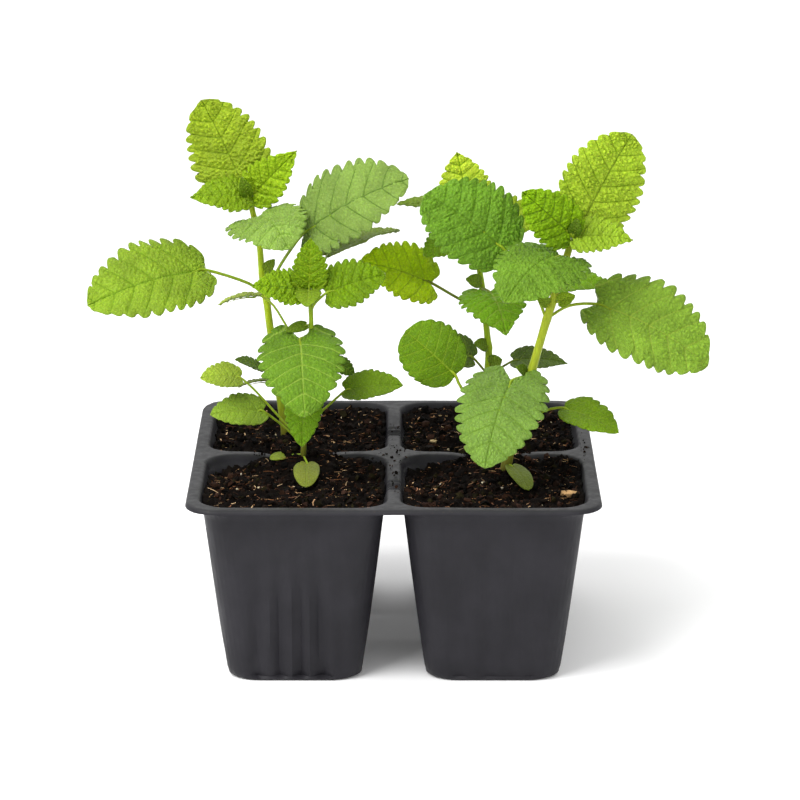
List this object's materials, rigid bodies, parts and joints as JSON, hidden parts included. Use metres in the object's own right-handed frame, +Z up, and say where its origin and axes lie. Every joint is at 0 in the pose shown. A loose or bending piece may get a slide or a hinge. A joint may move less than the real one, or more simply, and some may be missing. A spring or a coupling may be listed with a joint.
{
  "type": "potted herb plant",
  "caption": "Young lemon balm plants with toothed green leaves, growing in dark peat soil in a black square nursery tray of joined pots.",
  "frame": {"origin": "middle of the whole part's box, at the flat undersides of the pots", "axes": "+X along the wider spread of the leaves, +Y from the front pots to the rear pots, +Z up"},
  "size_m": [0.2154, 0.14, 0.184],
  "materials": {
    "tray_plastic": "satin black thermoformed sheet",
    "soil": "moist peat with bark fibres and grit",
    "leaf": "soft, finely hairy green leaf"
  },
  "bodies": {
    "root": {"tray": "tray_plastic", "soil_front_left": "soil", "soil_front_right": "soil", "soil_rear_left": "soil", "soil_rear_right": "soil", "plant_front_left": "leaf", "plant_front_right": "leaf", "plant_rear_left": "leaf", "plant_rear_right": "leaf"}
  },
  "joints": []
}
